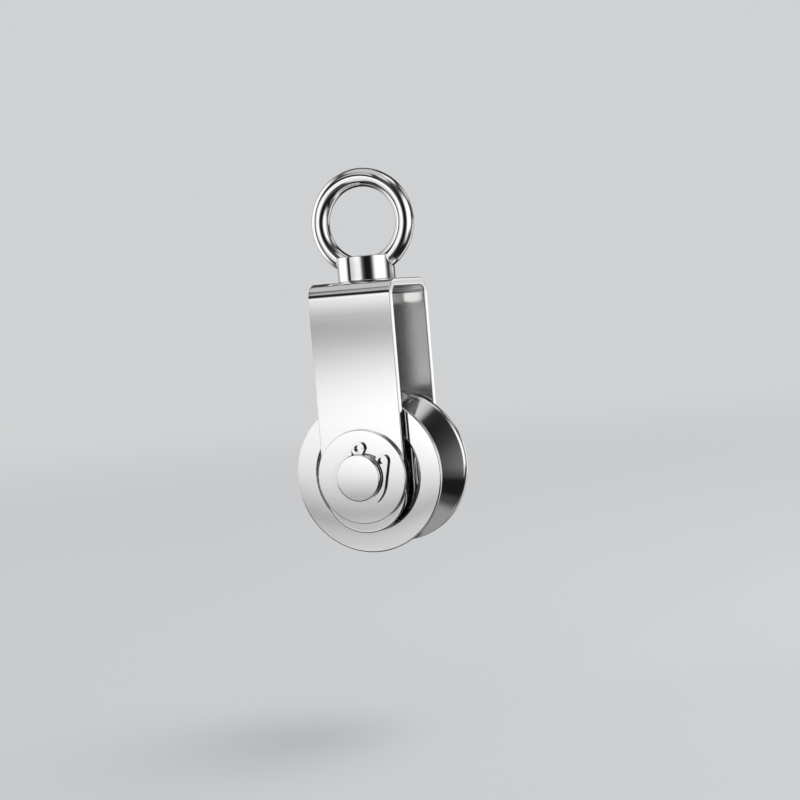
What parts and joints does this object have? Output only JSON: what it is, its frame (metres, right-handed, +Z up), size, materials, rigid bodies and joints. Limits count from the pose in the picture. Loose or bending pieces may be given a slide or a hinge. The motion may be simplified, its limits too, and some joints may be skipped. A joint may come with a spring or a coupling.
{
  "type": "swivel pulley block",
  "caption": "Stainless steel swivel pulley block: a grooved sheave on ball bearings in a U-shaped sheet bracket, hung from a turning eye.",
  "frame": {"origin": "the sheave's centre, on the axle's axis, midway between the legs", "axes": "+Z up through the swivel and the eye, +Y along the axle from the front leg (circlip ears up) to the rear leg, +X to the right seen from the front"},
  "size_m": [0.05, 0.0414, 0.1233],
  "materials": {
    "polished_steel": "mirror-polished stainless steel",
    "bracket_steel": "sheet stainless steel, bright polished faces, ground edges",
    "sheave_steel": "turned stainless steel, fine lathe finish on its faces, polished groove",
    "axle_steel": "ground stainless steel",
    "washer_steel": "polished stainless steel",
    "circlip_steel": "stamped spring stainless steel",
    "nut_steel": "cold-formed stainless steel",
    "spacer_steel": "turned stainless steel",
    "bearing_steel": "hardened and ground steel",
    "shield_steel": "pressed steel sheet",
    "cage_steel": "pressed steel",
    "ball_steel": "lapped steel"
  },
  "bodies": {
    "eye": {"swivel_eye": "polished_steel", "thrust_washer": "washer_steel", "lock_nut": "nut_steel"},
    "bracket": {"bracket": "bracket_steel", "axle": "axle_steel", "front_washer": "washer_steel", "rear_washer": "washer_steel", "front_circlip": "circlip_steel", "rear_circlip": "circlip_steel", "front_spacer": "spacer_steel", "rear_spacer": "spacer_steel", "centre_spacer": "spacer_steel", "front_inner_race": "bearing_steel", "rear_inner_race": "bearing_steel"},
    "sheave": {"sheave": "sheave_steel", "front_outer_race": "bearing_steel", "rear_outer_race": "bearing_steel", "front_outer_shield": "shield_steel", "front_inner_shield": "shield_steel", "rear_outer_shield": "shield_steel", "rear_inner_shield": "shield_steel"},
    "front_cage": {"front_ball_cage": "cage_steel", "front_balls": "ball_steel"},
    "rear_cage": {"rear_ball_cage": "cage_steel", "rear_balls": "ball_steel"}
  },
  "joints": [
    {"name": "swivel", "type": "hinge", "parent": "eye", "child": "bracket", "pos_m": [0, 0, 0.0618], "axis": [0, 0, 1], "continuous": true},
    {"name": "sheave_spin", "type": "hinge", "parent": "bracket", "child": "sheave", "pos_m": [0, 0, 0], "axis": [0, 1, 0], "continuous": true},
    {"name": "front_cage_orbit", "type": "hinge", "parent": "bracket", "child": "front_cage", "pos_m": [0, -0.00875, 0], "axis": [0, 1, 0], "continuous": true},
    {"name": "rear_cage_orbit", "type": "hinge", "parent": "bracket", "child": "rear_cage", "pos_m": [0, 0.00875, 0], "axis": [0, 1, 0], "continuous": true}
  ],
  "couplings": [
    {"joint": "front_cage_orbit", "follows": "sheave_spin", "ratio": 0.56121},
    {"joint": "rear_cage_orbit", "follows": "sheave_spin", "ratio": 0.56121}
  ]
}
